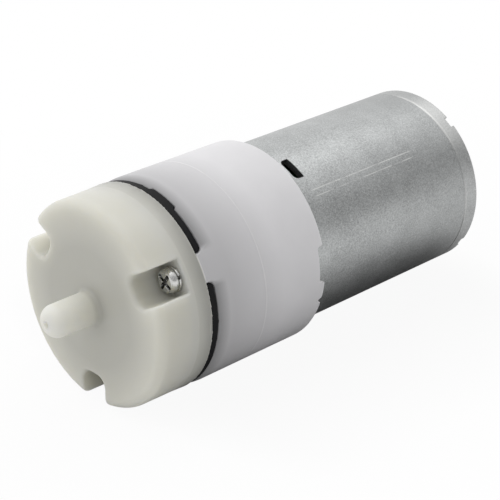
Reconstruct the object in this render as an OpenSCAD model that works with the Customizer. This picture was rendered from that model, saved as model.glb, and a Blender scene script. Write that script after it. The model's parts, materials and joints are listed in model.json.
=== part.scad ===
// Mini air pump: a three-cup wobble diaphragm pump driven by a small brushed motor.
// Millimetres. The pump axis runs along X: the hose nozzle points to -X and the motor's rear to +X.
// The origin is on the axis, in the plane of the rear rim of the pump housing, and +Z is up.
// Pieces are drawn in an axial frame: z runs along the axis towards the motor's rear,
// x points up and y to the side of the near cover screw. Angles are turned from x towards y.

/* [Motor can] */
// Outer diameter of the motor can
can_d = 24.4; // [23.6:0.1:25]
// Length of the motor can from its front face to its rear rim
can_len = 31.8; // [30.8:0.1:40]
// Thickness of the motor can
can_wall = 1.0; // [0.8:0.05:1.1]
// Rounding of the front corner of the motor can
can_corner_r = 1.0; // [0.3:0.05:1]
// Distance of the rolled groove from the rear rim
band_inset = 2.2; // [1.8:0.1:4]
// Width of the rolled groove
band_w = 0.3; // [0.2:0.05:0.6]
// Depth of the rolled groove
band_depth = 0.12; // [0.05:0.01:0.3]
// Diameter of the bearing bosses at both ends of the motor
boss_d = 6.0; // [5.4:0.1:6.6]
// Length of the front bearing boss
boss_len = 1.6; // [1.2:0.1:1.9]
// Length of the rear bearing boss
rear_boss_len = 2.2; // [1.4:0.1:3]
// Width of a vent in the can, around the can
vent_w = 3.4; // [2:0.1:5]
// Length of a vent along the can
vent_len = 1.5; // [1:0.1:3]
// Distance of a vent from the front face of the can
vent_inset = 2.33; // [2:0.01:4]
// Angle of the first vent
vent_turn = 25; // [0:1:45]
// Number of crimps that hold the end plate
crimp_count = 4; // [2:1:6]
// Angle of the first crimp
crimp_turn = 34.5; // [0:0.5:60]
// Width of a crimp
crimp_w = 1.5; // [1:0.1:3]
// Depth of a crimp below the rear rim
crimp_depth = 0.55; // [0.3:0.05:1]
// Thickness of a crimp's folded lip
crimp_lip_t = 0.4; // [0.2:0.05:0.6]
// Reach of a crimp's lip over the end plate
crimp_reach = 0.9; // [0.5:0.1:1.5]

/* [Motor inside] */
// Diameter of the motor shaft
shaft_d = 2.0; // [1.5:0.1:2.3]
// Length of shaft behind the rear bearing boss
shaft_tail = 0.6; // [0.2:0.1:2]
// Outer diameter of the sintered bearings
bearing_d = 4.5; // [3.6:0.1:4.8]
// Thickness of the lip in front of a bearing
bearing_lip_t = 0.3; // [0.2:0.05:0.5]
// Radial clearance of the shaft in its bearings
bearing_gap = 0.03; // [0.01:0.01:0.08]
// Radial clearance of the shaft in the bearing bosses
lip_gap = 0.35; // [0.2:0.05:0.5]
// Thickness of the thrust washers
thrust_washer_t = 0.4; // [0.2:0.05:0.6]
// Outer diameter of the thrust washers
thrust_washer_d = 4.0; // [3.2:0.1:4.4]
// Axial play of the rotor at each end
end_play = 0.15; // [0.05:0.01:0.3]
// Radial thickness of the magnets
magnet_t = 2.5; // [1.8:0.1:3]
// Length of a magnet past either end of the armature core
magnet_overhang = 2.5; // [0.5:0.1:4]
// Arc of each magnet
magnet_arc = 130; // [100:1:150]
// Thickness of the magnet springs
magnet_spring_t = 0.4; // [0.2:0.05:0.6]
// Radial height of the legs of the magnet springs
magnet_spring_leg = 2.0; // [1:0.1:2.3]
// Air gap between magnets and armature
air_gap = 0.35; // [0.2:0.05:0.6]
// Angle left free between a magnet and its springs
magnet_spring_play = 0.5; // [0.2:0.1:2]
// Room between the front of the can and the armature core
front_room = 7.0; // [4:0.1:8]
// Diameter of the hub of the armature core
core_hub_d = 6.4; // [5.6:0.1:7]
// Width of each armature arm
core_arm_w = 3.0; // [2:0.1:3.4]
// Thickness of each pole shoe
pole_t = 1.0; // [0.6:0.1:1.4]
// Arc of each pole shoe
pole_arc = 100; // [80:1:110]
// Thickness of the end insulators
insulator_t = 0.5; // [0.3:0.1:0.8]
// Thickness of a winding beside its arm
coil_t = 1.5; // [0.8:0.1:1.8]
// Height of a winding over the end insulators
coil_rise = 1.6; // [0.8:0.1:2]
// Wall of the spacer tubes on the end insulators
spacer_wall = 1.0; // [0.6:0.1:1.2]
// Room between the windings and the commutator segments
coil_gap = 1.4; // [0.8:0.1:3]
// Outer diameter of the commutator
commutator_d = 5.2; // [4.6:0.1:5.6]
// Length of the commutator segments
segment_len = 4.2; // [3.4:0.1:4.6]
// Thickness of the commutator segments
segment_t = 0.5; // [0.3:0.05:0.7]
// Gap between commutator segments
segment_gap = 0.5; // [0.3:0.05:0.8]
// Length of a brush from the commutator to its leaf spring
brush_len = 2.5; // [1.8:0.1:3]
// Width of a brush across the commutator
brush_w = 2.0; // [1.2:0.1:2.4]
// Height of a brush along the commutator
brush_h = 2.4; // [1.6:0.1:3]
// Clearance of a brush from the commutator
brush_gap = 0.05; // [0.02:0.01:0.1]
// Thickness of the brush leaf springs
leaf_t = 0.25; // [0.15:0.05:0.4]
// Room between a brush and the foot of its leaf spring
leaf_room = 1.0; // [0.4:0.1:1.5]
// Thickness of the brush holder plate
holder_t = 2.0; // [1.4:0.1:2.6]
// Thickness of the steel end plate
end_plate_t = 0.8; // [0.5:0.1:1.2]
// Clearance of the brush holder and the end plate in the can
end_fit = 0.05; // [0.02:0.01:0.15]
// Width of a terminal blade
terminal_w = 2.3; // [1.6:0.1:2.8]
// Thickness of a terminal blade
terminal_t = 0.4; // [0.3:0.05:0.6]
// Length of a terminal blade behind the rear rim
terminal_len = 3.6; // [3:0.1:6]
// Diameter of the eye in a terminal blade
terminal_eye_d = 1.0; // [0.6:0.1:1.3]
// Wall of the brush holder's collar around a terminal
terminal_collar = 0.5; // [0.3:0.05:0.6]
// Radius at which the terminals stand
terminal_circle_r = 8.0; // [7.4:0.1:8.6]

/* [Pump housing] */
// Wall of the housing's skirt around the motor
skirt_wall = 1.2; // [1:0.05:1.8]
// Length of the rear housing
rear_len = 10.3; // [9.8:0.1:12]
// Length of the front housing
front_len = 7.85; // [7.6:0.05:9.5]
// Wall of both housings
housing_wall = 1.6; // [1.4:0.05:1.9]
// Thickness of the floor that the motor is screwed to
floor_t = 2.0; // [1.6:0.1:2.4]
// Height of the skirt around the front of the motor
skirt_len = 1.0; // [0.6:0.1:1.6]
// Clearance of the skirt around the motor can
skirt_gap = 0.05; // [0.02:0.01:0.15]
// Thickness of the deck that carries the diaphragm
deck_t = 1.5; // [1.2:0.1:2]
// Height of the tongue that centres the two housings
tongue_h = 0.8; // [0.4:0.1:1.2]
// Thickness of that tongue
tongue_t = 0.7; // [0.5:0.05:0.8]
// Length over which the front rim of the housing is eased
ease_len = 1.6; // [0.6:0.1:2.4]
// Depth of that easing
ease_depth = 0.25; // [0.1:0.05:0.4]
// Width of the notch in the rear rim
rim_notch_w = 4.8; // [3:0.1:6]
// Angle of the notch in the rear rim
rim_notch_turn = 84; // [76:1:90]
// Width of the vee in the rear rim
rim_vee_w = 1.3; // [0.8:0.1:2]
// Depth of the vee in the rear rim
rim_vee_depth = 0.8; // [0.4:0.1:0.9]
// Angle of the vee in the rear rim
rim_vee_turn = 106.4; // [100:0.1:112]
// Diameter of the intake hole in the floor
intake_d = 1.6; // [1:0.1:2]
// Distance of the intake hole from the side of the motor can
intake_inset = 2.8; // [2.4:0.1:3.2]
// Depth of the intake groove in the floor
intake_groove_depth = 0.8; // [0.4:0.1:1.2]
// Width of the screw bosses
screw_boss_w = 3.6; // [3.4:0.1:4]
// Height of the pivot boss over the deck
pivot_rise = 0.65; // [0.4:0.05:0.9]
// Diameter of the pivot boss
pivot_boss_d = 3.6; // [3:0.1:4]

/* [Diaphragm] */
// Thickness of the diaphragm flange
diaphragm_t = 0.9; // [0.7:0.05:1.3]
// Distance of the diaphragm's edge inside the side of the housing
diaphragm_inset = 0.15; // [0.05:0.05:0.4]
// Radius at which the cups stand
cup_circle_r = 6.2; // [6:0.05:6.4]
// Outer diameter of a cup
cup_d = 6.8; // [6.4:0.1:7]
// Wall of a cup
cup_wall = 0.6; // [0.4:0.05:0.8]
// Clearance of a cup in the deck
cup_gap = 0.3; // [0.2:0.05:0.4]
// Thickness of a cup's bottom
cup_bottom_t = 1.2; // [1.1:0.05:1.4]
// Overhang of a cup's bottom past its wall
cup_lip = 0.12; // [0.1:0.01:0.15]
// Distance of a cup's bottom behind the pivot
cup_bottom_rise = 0.1; // [0.05:0.05:0.3]
// Diameter of the stem that ties a cup to the rocker
stem_d = 1.4; // [1:0.1:1.6]
// Diameter of the collar between a cup and the rocker
collar_d = 3.4; // [2.8:0.1:4]
// Diameter of the bulb that holds the stem in the rocker
bulb_d = 2.6; // [2.4:0.1:3]
// Length of that bulb
bulb_len = 1.0; // [0.6:0.1:1.2]
// Width of the key on the edge of the diaphragm
key_w = 4.2; // [3:0.1:5]
// Height of the key over the flange
key_rise = 0.45; // [0.2:0.05:0.8]
// Radial depth of the key
key_depth = 1.3; // [0.8:0.1:1.4]
// Angle of the key
key_turn = 15.4; // [0:0.1:30]

/* [Rocker and crank] */
// Tilt of the crank pin against the pump axis
wobble_angle = 8.6; // [6:0.1:9]
// Diameter of the crank pin
pin_d = 1.5; // [1.2:0.05:1.6]
// Radial clearance of the crank pin in the eccentric
pin_gap = 0.05; // [0.02:0.01:0.1]
// Radial clearance of the pin's tip in its socket
socket_gap = 0.1; // [0.05:0.01:0.2]
// Distance of the rocker hub behind the pivot
hub_inset = 1.6; // [1.4:0.1:2]
// Length of the rocker hub
hub_len = 4.2; // [3.6:0.1:4.4]
// Diameter of the rocker hub
hub_d = 4.6; // [3.6:0.1:4.8]
// Distance of the rocker arms behind the pivot
arm_inset = 2.8; // [2.7:0.05:3]
// Thickness of the rocker arms
arm_t = 1.2; // [0.9:0.1:1.3]
// Width of the rocker arms
arm_w = 3.0; // [2:0.1:3.6]
// Diameter of the eye at the end of a rocker arm
arm_eye_d = 4.6; // [4:0.1:5]
// Clearance between the diaphragm's stems and the rocker
stem_gap = 0.3; // [0.2:0.05:0.3]
// Clearance between the rocker hub and the eccentric
hub_gap = 0.72; // [0.4:0.01:1.2]
// Distance of the eccentric from the front bearing boss
eccentric_gap = 0.4; // [0.3:0.1:0.6]
// Wall of the eccentric outside the crank pin
eccentric_wall = 1.9; // [1.2:0.1:2]
// Depth of the crank pin in the eccentric
pin_depth = 2.5; // [2:0.1:2.6]
// Thickness of the eccentric between the crank pin and the motor shaft
pin_web = 0.5; // [0.4:0.1:0.8]

/* [Valve plate and valves] */
// Thickness of the valve plate
plate_t = 2.05; // [1.8:0.05:3]
// Distance of the valve plate's edge inside the side of the housing
plate_inset = 0.05; // [0:0.05:0.2]
// Diameter of an outlet port
outlet_port_d = 1.2; // [0.8:0.1:1.3]
// Distance of an outlet port from the wall of its cup
outlet_margin = 0.1; // [0.05:0.05:0.2]
// Lap of the outlet valve over its ports
outlet_lap = 0.2; // [0.1:0.05:0.4]
// Thickness of the outlet valve at its rim
outlet_valve_t = 0.5; // [0.3:0.05:0.8]
// Diameter of the stem of the outlet valve
outlet_stem_d = 1.6; // [1.2:0.1:2]
// Diameter of the barb on that stem
outlet_barb_d = 2.6; // [2.1:0.1:2.8]
// Clearance around that barb in its recess
barb_gap = 0.3; // [0.1:0.05:0.4]
// Depth of that recess in the valve plate
recess_t = 0.9; // [0.5:0.1:1.2]
// Diameter of an inlet valve
inlet_valve_d = 2.5; // [2.4:0.05:2.6]
// Thickness of an inlet valve at its rim
inlet_valve_t = 0.4; // [0.2:0.05:0.5]
// Diameter of the stem of an inlet valve
inlet_stem_d = 0.8; // [0.6:0.05:0.85]
// Diameter of the barb on that stem
inlet_barb_d = 1.3; // [1:0.05:1.5]
// Height of that barb
inlet_barb_h = 0.8; // [0.4:0.1:1.2]
// Diameter of an inlet port
inlet_port_d = 0.64; // [0.4:0.02:0.66]
// Lap of an inlet valve over its ports
inlet_lap = 0.05; // [0.02:0.01:0.1]
// Distance of an inlet valve from the wall of its cup
inlet_margin = 0.25; // [0.15:0.05:0.3]
// Diameter of the transfer holes
transfer_d = 1.6; // [1:0.1:1.7]

/* [Head cap] */
// Distance of the head cap's edge inside the side of the housing
cap_inset = 0.15; // [0.05:0.05:0.3]
// Length of the head cap without its nozzle
cap_len = 5.7; // [5.2:0.1:8]
// Rounding of the front edge of the head cap
cap_edge_r = 1.5; // [0.5:0.1:1.9]
// Draft of the head cap's side, measured on the radius
cap_draft = 0.06; // [0:0.01:0.12]
// Width of the screw notches
notch_w = 4.2; // [4.1:0.1:4.6]
// Thickness of the cap under a screw
notch_floor_t = 0.55; // [0.4:0.05:0.8]
// Diameter of the hose nozzle
nozzle_d = 4.15; // [3.6:0.05:5]
// Length of the hose nozzle
nozzle_len = 6.6; // [5:0.1:12]
// Rounding of the nozzle's tip
nozzle_tip_r = 1.6; // [0.6:0.05:1.7]
// Fillet at the root of the nozzle
nozzle_root_r = 0.7; // [0.2:0.05:1]
// Diameter of the outlet bore
nozzle_bore_d = 0.8; // [0.6:0.05:1.4]
// Room around the outlet valve in its chamber
chamber_gap = 0.3; // [0.2:0.05:0.4]
// Depth of the outlet chamber
chamber_depth = 3.4; // [2.6:0.1:3.6]
// Wall between the outlet chamber and the inlet channel
channel_wall = 0.9; // [0.7:0.05:1]
// Width of the inlet channel
channel_w = 1.8; // [1.7:0.05:2]
// Depth of the inlet channel
channel_depth = 2.4; // [1.6:0.1:2.8]
// Room around an inlet valve's ports in their pocket
pocket_gap = 0.45; // [0.3:0.05:0.5]

/* [Fasteners] */
// Distance of the cover screws from the side of the housing
screw_inset = 2.45; // [2.35:0.05:2.55]
// Diameter of a cover screw
screw_d = 1.7; // [1.4:0.1:1.8]
// Length of a cover screw under its head
screw_len = 16; // [15:0.5:17]
// Diameter of a cover screw's head
screw_head_d = 3.15; // [2.8:0.05:3.4]
// Height of a cover screw's head
screw_head_h = 1.05; // [0.9:0.05:1.4]
// Clearance around a cover screw
screw_gap = 0.1; // [0.05:0.01:0.15]
// Clearance of a screw in the hole that it is driven into
thread_gap = 0.02; // [0.02:0.01:0.05]
// Depth of that hole past the screw's tip
pilot_depth = 0.5; // [0.3:0.1:0.8]
// Outer diameter of a spring washer
lock_washer_d = 3.3; // [2.8:0.05:3.5]
// Thickness of a spring washer
lock_washer_t = 0.4; // [0.3:0.05:0.6]
// Gap in a spring washer
lock_washer_split = 0.4; // [0.2:0.05:0.6]
// Slant of that gap
lock_washer_slant = 25; // [0:1:40]
// Diameter of a motor screw
motor_screw_d = 2.0; // [1.6:0.1:2.2]
// Length of a motor screw under its head
motor_screw_len = 3.0; // [2.6:0.1:3.6]
// Diameter of a motor screw's head
motor_screw_head_d = 3.6; // [3.2:0.1:4]
// Height of a motor screw's head
motor_screw_head_h = 1.3; // [0.9:0.1:1.5]
// Radius at which the motor screws stand
motor_screw_circle_r = 8.0; // [7.8:0.1:8.1]
// Angle of the first motor screw
motor_screw_turn = 30; // [20:1:35]

/* [Hidden] */
$fn = 72;

// Clearance of pieces that are pressed together or laid face to face around a curve
press_gap = 0.01;
// Overshoot of a cut past the face that it opens
cut = 1;
// Number of cups, rocker arms, cover screws and inlet valves
cup_count = 3;
// Directions of what comes in threes in the motor and around an inlet valve
thirds = [0, 120, 240];
// Rounding, recess and point of a pan head screw, as shares of its head and its shank
head_edge = 0.55;
cross_w = 0.14;
cross_len = 0.74;
cross_depth = 0.6;
screw_point = 0.4;
// Turn of the cover screws' recesses
cross_turn = -28;

// Steps along the axis, from the motor's front face to the pump's front
z_seat = -skirt_len;
z_floor = z_seat - floor_t;
z_joint = -rear_len;
z_deck = z_joint - front_len;
z_flange = z_deck - diaphragm_t;
z_plate = z_flange - plate_t;
z_cap = z_plate - cap_len;
z_tip = z_cap - nozzle_len;
z_pivot = z_deck + deck_t + pivot_rise;
z_notch = z_plate - notch_floor_t;
z_head = z_notch - lock_washer_t;

// Steps along the motor
z_boss = z_seat - boss_len;
z_can_in = z_seat + can_wall;
z_rim = z_seat + can_len;
z_end = z_rim - crimp_depth - crimp_lip_t;
z_end_in = z_end - end_plate_t;
z_holder = z_end_in - holder_t;
z_rear_boss = z_end + rear_boss_len;
can_r = can_d / 2;
can_in_r = can_r - can_wall;
shaft_r = shaft_d / 2;

// The brushes stand before their holder, and the armature fills the room between them and the front
z_brush = z_holder - leaf_t - leaf_room - brush_h;
z_segment = z_brush + (brush_h - segment_len) / 2;
z_core = z_can_in + front_room;
z_core_end = z_segment - coil_gap - coil_rise - insulator_t;
z_spacer = z_core_end + insulator_t + coil_rise / 2;
z_magnet = z_core - magnet_overhang;
z_magnet_end = z_core_end + magnet_overhang;
magnet_r = can_in_r - press_gap;
magnet_in_r = magnet_r - magnet_t;
core_r = magnet_in_r - air_gap;
shoe_in_r = core_r - pole_t;
coil_half_w = core_arm_w / 2 + press_gap + coil_t;
coil_end_r = sqrt(pow(shoe_in_r, 2) - pow(coil_half_w, 2)) - 2 * press_gap;
z_front_washer = z_can_in + end_play;
z_rear_washer = z_end_in - thrust_washer_t;
commutator_r = commutator_d / 2;
sleeve_r = commutator_r - segment_t;
leaf_r = commutator_r + brush_gap + brush_len;
magnet_turn = vent_turn + 90;
bearing_r = bearing_d / 2;
lip_r = shaft_r + lip_gap;

// The housing, the screws and the crank
skirt_r = can_r + skirt_gap;
housing_r = skirt_r + skirt_wall;
housing_in_r = housing_r - housing_wall;
diaphragm_r = housing_r - diaphragm_inset;
plate_r = housing_r - plate_inset;
cap_r = housing_r - cap_inset;
screw_circle_r = housing_r - screw_inset;
intake_circle_r = can_r - intake_inset;
z_hub_end = z_pivot + (hub_inset + hub_len) * cos(wobble_angle) + hub_d / 2 * sin(wobble_angle);
z_eccentric_front = z_hub_end + hub_gap;
z_eccentric = z_boss - eccentric_gap;
z_shaft_front = z_eccentric_front + pin_depth + pin_web;
pin_len = (z_eccentric_front + pin_depth - z_pivot) / cos(wobble_angle);
pin_throw = pin_len * sin(wobble_angle);
eccentric_r = pin_throw + pin_d / 2 + eccentric_wall;
z_screw_tip = z_head + screw_len;
hole_r = screw_d / 2 + screw_gap;

// The cups, their valves, and the chamber and channel over them
cup_in_r = cup_d / 2 - cup_wall;
outlet_circle_r = cup_circle_r - cup_in_r + outlet_port_d / 2 + outlet_margin;
outlet_valve_r = outlet_circle_r + outlet_port_d / 2 + outlet_lap;
inlet_circle_r = cup_circle_r + cup_in_r - inlet_valve_d / 2 - inlet_margin;
inlet_port_r = inlet_valve_d / 2 - inlet_lap - inlet_port_d / 2;
pocket_r = inlet_port_r + inlet_port_d / 2 + pocket_gap;
chamber_r = outlet_valve_r + chamber_gap;
channel_in_r = chamber_r + channel_wall;
channel_r = channel_in_r + channel_w;
transfer_circle_r = (channel_in_r + channel_r) / 2;
cup_bottom_mid = cup_bottom_rise + cup_bottom_t / 2;
collar_end = arm_inset - stem_gap;
bulb_from = arm_inset + arm_t + stem_gap / 2;
cup_angles = [for (i = [0 : cup_count - 1]) i * 360 / cup_count];
screw_turn = 180 / cup_count;
screw_angles = [for (a = cup_angles) a + screw_turn];

// Points of a quarter round from angle a to angle b about a centre
function arc(c, r, a, b, n = 8) =
    [for (i = [0 : n]) c + r * [cos(a + (b - a) * i / n), sin(a + (b - a) * i / n)]];

// Turns a piece from its axial frame into the frame of the pump
module on_axis() {
    rotate([0, 90, 0])
        rotate([0, 0, 180])
            children();
}

// Puts a piece at a radius and an angle about the axis
module at(r, a, z = 0) {
    rotate([0, 0, a])
        translate([r, 0, z])
            children();
}

// Puts a piece on the tilted crank pin, measured from the pivot
module on_pin() {
    translate([0, 0, z_pivot])
        rotate([0, wobble_angle, 0])
            children();
}

// A round bar between two heights
module bar(r, z0, z1) {
    translate([0, 0, z0])
        cylinder(r = r, h = z1 - z0);
}

// A tube between two heights
module tube(r_out, r_in, z0, z1) {
    difference() {
        bar(r_out, z0, z1);
        bar(r_in, z0 - cut, z1 + cut);
    }
}

// A wedge of a given arc, centred on x
module wedge(r, a, z0, z1) {
    translate([0, 0, z0])
        linear_extrude(z1 - z0)
            polygon(concat([[0, 0]], arc([0, 0], 2 * r, -a / 2, a / 2)));
}

// A part of a tube, of a given arc and centred on x
module arc_bar(r_out, r_in, a, z0, z1) {
    intersection() {
        tube(r_out, r_in, z0, z1);
        wedge(r_out, a, z0 - cut, z1 + cut);
    }
}

// A block that reaches outwards from a radius on x
module spoke(r0, r1, w, z0, z1) {
    translate([r0, -w / 2, z0])
        cube([r1 - r0, w, z1 - z0]);
}

// A rectangle with round corners
module round_rect(w, h, r) {
    square([w - 2 * r, h], center = true);
    square([w, h - 2 * r], center = true);
    for (x = [-1, 1], y = [-1, 1])
        translate([x * (w / 2 - r), y * (h / 2 - r)])
            circle(r);
}

// The U that a screw boss or a screw notch has, open to the outside
module screw_u(w, z0, z1) {
    for (a = screw_angles)
        rotate([0, 0, a]) {
            translate([screw_circle_r, 0, 0])
                bar(w / 2, z0, z1);
            spoke(screw_circle_r, housing_r + cut, w, z0, z1);
        }
}

// A round thing at every cover screw
module at_screws() {
    for (a = screw_angles)
        at(screw_circle_r, a)
            children();
}

// The head cap's outline, turned about the axis
module cap_body() {
    front_r = cap_r - cap_draft;
    tip_c = [nozzle_d / 2 - nozzle_tip_r, z_tip + nozzle_tip_r];
    root_c = [nozzle_d / 2 + nozzle_root_r, z_cap - nozzle_root_r];
    rotate_extrude()
        polygon(concat(
            [[0, z_plate], [cap_r, z_plate]],
            arc([front_r - cap_edge_r, z_cap + cap_edge_r], cap_edge_r, 0, -90),
            arc(root_c, nozzle_root_r, 90, 180),
            arc(tip_c, nozzle_tip_r, 0, -90),
            [[0, z_tip]]));
}

// Head cap with the outlet chamber, the inlet channel, the screw notches and the nozzle
module head_cap() {
    color([0.84, 0.84, 0.80])
        on_axis()
            difference() {
                cap_body();
                screw_u(notch_w, z_cap - cut, z_notch);
                at_screws()
                    bar(hole_r, z_notch - cut, z_plate + cut);
                bar(chamber_r, z_plate - chamber_depth, z_plate + cut);
                bar(nozzle_bore_d / 2, z_tip - cut, z_plate);
                tube(channel_r, channel_in_r, z_plate - channel_depth, z_plate + cut);
                for (a = cup_angles)
                    at(inlet_circle_r, a)
                        bar(pocket_r, z_plate - channel_depth, z_plate + cut);
            }
}

// Valve plate with the inlet and outlet ports
module valve_plate() {
    color([0.83, 0.83, 0.78])
        on_axis()
            difference() {
                bar(plate_r, z_plate, z_flange);
                at_screws()
                    bar(hole_r, z_plate - cut, z_flange + cut);
                bar(outlet_stem_d / 2 + press_gap, z_plate - cut, z_flange + cut);
                bar(outlet_barb_d / 2 + barb_gap, z_flange - recess_t, z_flange + cut);
                for (a = cup_angles) {
                    at(outlet_circle_r, a)
                        bar(outlet_port_d / 2, z_plate - cut, z_flange + cut);
                    at(inlet_circle_r, a)
                        inlet_holes();
                    at(transfer_circle_r, a + screw_turn)
                        bar(transfer_d / 2, z_plate - cut, z_flange + cut);
                }
            }
}

// The stem hole of an inlet valve with its three ports
module inlet_holes() {
    bar(inlet_stem_d / 2 + press_gap, z_plate - cut, z_flange + cut);
    for (a = thirds)
        at(inlet_port_r, a + 180)
            bar(inlet_port_d / 2, z_plate - cut, z_flange + cut);
}

// Umbrella valve over the outlet ports, with its stem and its barb
module outlet_valve() {
    color([0.75, 0.36, 0.26])
        on_axis() {
            translate([0, 0, z_plate])
                rotate_extrude()
                    polygon([[0, 0], [outlet_valve_r, 0], [outlet_valve_r, -outlet_valve_t / 2],
                        [outlet_stem_d, -outlet_valve_t], [0, -outlet_valve_t]]);
            bar(outlet_stem_d / 2, z_plate - outlet_valve_t / 2, z_flange - recess_t + press_gap);
            bar(outlet_barb_d / 2, z_flange - recess_t + press_gap, z_flange - recess_t / 4);
        }
}

// Umbrella valve in the mouth of a cup, with its stem and its barb
module inlet_valve(i) {
    color([0.75, 0.36, 0.26])
        on_axis()
            at(inlet_circle_r, cup_angles[i]) {
                bar(inlet_valve_d / 2, z_flange, z_flange + inlet_valve_t);
                bar(inlet_stem_d / 2, z_plate - inlet_barb_h, z_flange + inlet_valve_t / 2);
                bar(inlet_barb_d / 2, z_plate - inlet_barb_h, z_plate - press_gap);
            }
}

module inlet_valve_1() { inlet_valve(0); }
module inlet_valve_2() { inlet_valve(1); }
module inlet_valve_3() { inlet_valve(2); }

// Rubber diaphragm: a flange with a key, and three cups with stems tied to the tilted rocker
module diaphragm() {
    color([0.13, 0.13, 0.14])
        on_axis() {
            difference() {
                union() {
                    bar(diaphragm_r, z_flange, z_deck);
                    intersection() {
                        rotate([0, 0, key_turn])
                            spoke(housing_r - key_depth - ease_depth, housing_r, key_w,
                                z_flange, z_deck + key_rise);
                        bar(diaphragm_r, z_flange, z_deck + key_rise);
                    }
                    for (a = cup_angles)
                        at(cup_circle_r, a)
                            bar(cup_d / 2, z_flange, z_pivot + cup_mid(a));
                }
                screw_u(screw_boss_w + 2 * screw_gap, z_flange - cut, z_deck + key_rise + cut);
                for (a = cup_angles) {
                    at(cup_circle_r, a)
                        bar(cup_in_r, z_flange - cut, z_pivot + cup_mid(a) + cut);
                    at(transfer_circle_r, a + screw_turn)
                        bar(transfer_d / 2, z_flange - cut, z_deck + cut);
                }
            }
            on_pin()
                for (a = cup_angles)
                    at(cup_circle_r, a) {
                        bar(cup_d / 2 + cup_lip, cup_bottom_rise, cup_bottom_rise + cup_bottom_t);
                        bar(collar_d / 2, cup_bottom_rise, collar_end);
                        bar(stem_d / 2, cup_bottom_rise, bulb_from + bulb_len);
                        bar(bulb_d / 2, bulb_from, bulb_from + bulb_len);
                    }
        }
}

// Height over the pivot of the middle of a cup's bottom, at the tilt of the crank pin
function cup_mid(a) = cup_bottom_mid * cos(wobble_angle) - cup_circle_r * cos(a) * sin(wobble_angle);

// Front housing: wall, deck with the cup holes, screw bosses and the socket of the crank pin
module front_housing() {
    color([0.88, 0.88, 0.90])
        on_axis()
            difference() {
                union() {
                    difference() {
                        rotate_extrude()
                            polygon([[0, z_deck], [housing_r - ease_depth, z_deck],
                                [housing_r, z_deck + ease_len], [housing_r, z_joint], [0, z_joint]]);
                        bar(housing_in_r, z_deck + deck_t, z_joint + cut);
                        bar(housing_in_r + tongue_t + press_gap, z_joint - tongue_h - press_gap,
                            z_joint + cut);
                    }
                    intersection() {
                        screw_u(screw_boss_w, z_flange, z_joint);
                        bar(housing_r, z_flange, z_joint);
                    }
                    bar(pivot_boss_d / 2, z_deck, z_pivot);
                }
                translate([0, 0, z_pivot])
                    sphere(r = pin_d / 2 + socket_gap);
                at_screws()
                    bar(hole_r, z_flange - cut, z_joint + cut);
                rotate([0, 0, key_turn])
                    spoke(housing_r - key_depth - ease_depth - screw_gap, housing_r + cut,
                        key_w + 2 * screw_gap, z_deck - cut, z_deck + key_rise + press_gap);
                for (a = cup_angles) {
                    at(cup_circle_r, a)
                        bar(cup_d / 2 + cup_gap, z_deck - cut, z_deck + deck_t + cut);
                    at(transfer_circle_r, a + screw_turn)
                        bar(transfer_d / 2, z_deck - cut, z_deck + deck_t + cut);
                }
            }
}

// Rear housing: wall, screw bosses, the floor that holds the motor, and the notched skirt
module rear_housing() {
    color([0.88, 0.88, 0.90])
        on_axis()
            difference() {
                union() {
                    difference() {
                        bar(housing_r, z_joint, 0);
                        difference() {
                            bar(housing_in_r, z_joint - cut, z_floor);
                            screw_u(screw_boss_w, z_joint - 2 * cut, z_floor + cut);
                        }
                    }
                    difference() {
                        tube(housing_in_r + tongue_t, housing_in_r, z_joint - tongue_h, z_joint + cut);
                        screw_u(screw_boss_w + 2 * screw_gap, z_joint - tongue_h - cut, z_joint + 2 * cut);
                    }
                }
                bar(skirt_r, z_seat, cut);
                bar(boss_d / 2 + skirt_gap, z_floor - cut, z_seat + cut);
                at_screws()
                    bar(screw_d / 2 + thread_gap, z_joint - cut, z_screw_tip + pilot_depth);
                for (a = [0, 180])
                    at(motor_screw_circle_r, a + motor_screw_turn)
                        bar(motor_screw_d / 2 + screw_gap, z_floor - cut, z_seat + cut);
                rotate([0, 0, rim_notch_turn]) {
                    spoke(skirt_r - cut, housing_r + cut, rim_notch_w, z_seat, cut);
                    spoke(intake_circle_r, can_r - can_corner_r / 2, intake_d, z_seat - intake_groove_depth,
                        z_seat + cut);
                    translate([intake_circle_r, 0, 0])
                        bar(intake_d / 2, z_floor - cut, z_seat + cut);
                }
                rim_vee();
            }
}

// The vee in the rear rim
module rim_vee() {
    grow = (rim_vee_depth + cut) / rim_vee_depth;
    rotate([0, 0, rim_vee_turn])
        translate([housing_r + cut, 0, 0])
            rotate([0, -90, 0])
                linear_extrude(housing_r + cut - skirt_r + cut)
                    polygon([[-rim_vee_depth, 0], [cut, rim_vee_w / 2 * grow],
                        [cut, -rim_vee_w / 2 * grow]]);
}

// A pan head screw with a cross recess; its seat is at z = 0 and its shank runs to +z
module pan_screw(d, head_d, head_h, len) {
    edge_r = head_h * head_edge;
    slot_w = head_d * cross_w;
    slot_len = head_d * cross_len;
    slot_depth = head_h * cross_depth;
    point_h = d / 2;
    difference() {
        union() {
            rotate_extrude()
                polygon(concat(
                    [[0, 0], [head_d / 2, 0]],
                    arc([head_d / 2 - edge_r, edge_r - head_h], edge_r, 0, -90),
                    [[0, -head_h]]));
            bar(d / 2, (slot_depth - head_h) / 2, len - point_h);
            translate([0, 0, len - point_h])
                cylinder(r1 = d / 2, r2 = d / 2 * screw_point, h = point_h);
        }
        for (a = [0, 90])
            rotate([0, 0, a])
                translate([-slot_len / 2, -slot_w / 2, -head_h - cut])
                    cube([slot_len, slot_w, cut + slot_depth]);
    }
}

// Three cover screws that clamp the cap, the plate and both housings
module cover_screws() {
    color([0.72, 0.71, 0.68])
        on_axis()
            at_screws()
                translate([0, 0, z_head])
                    rotate([0, 0, cross_turn])
                        pan_screw(screw_d, screw_head_d, screw_head_h, screw_len);
}

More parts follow.
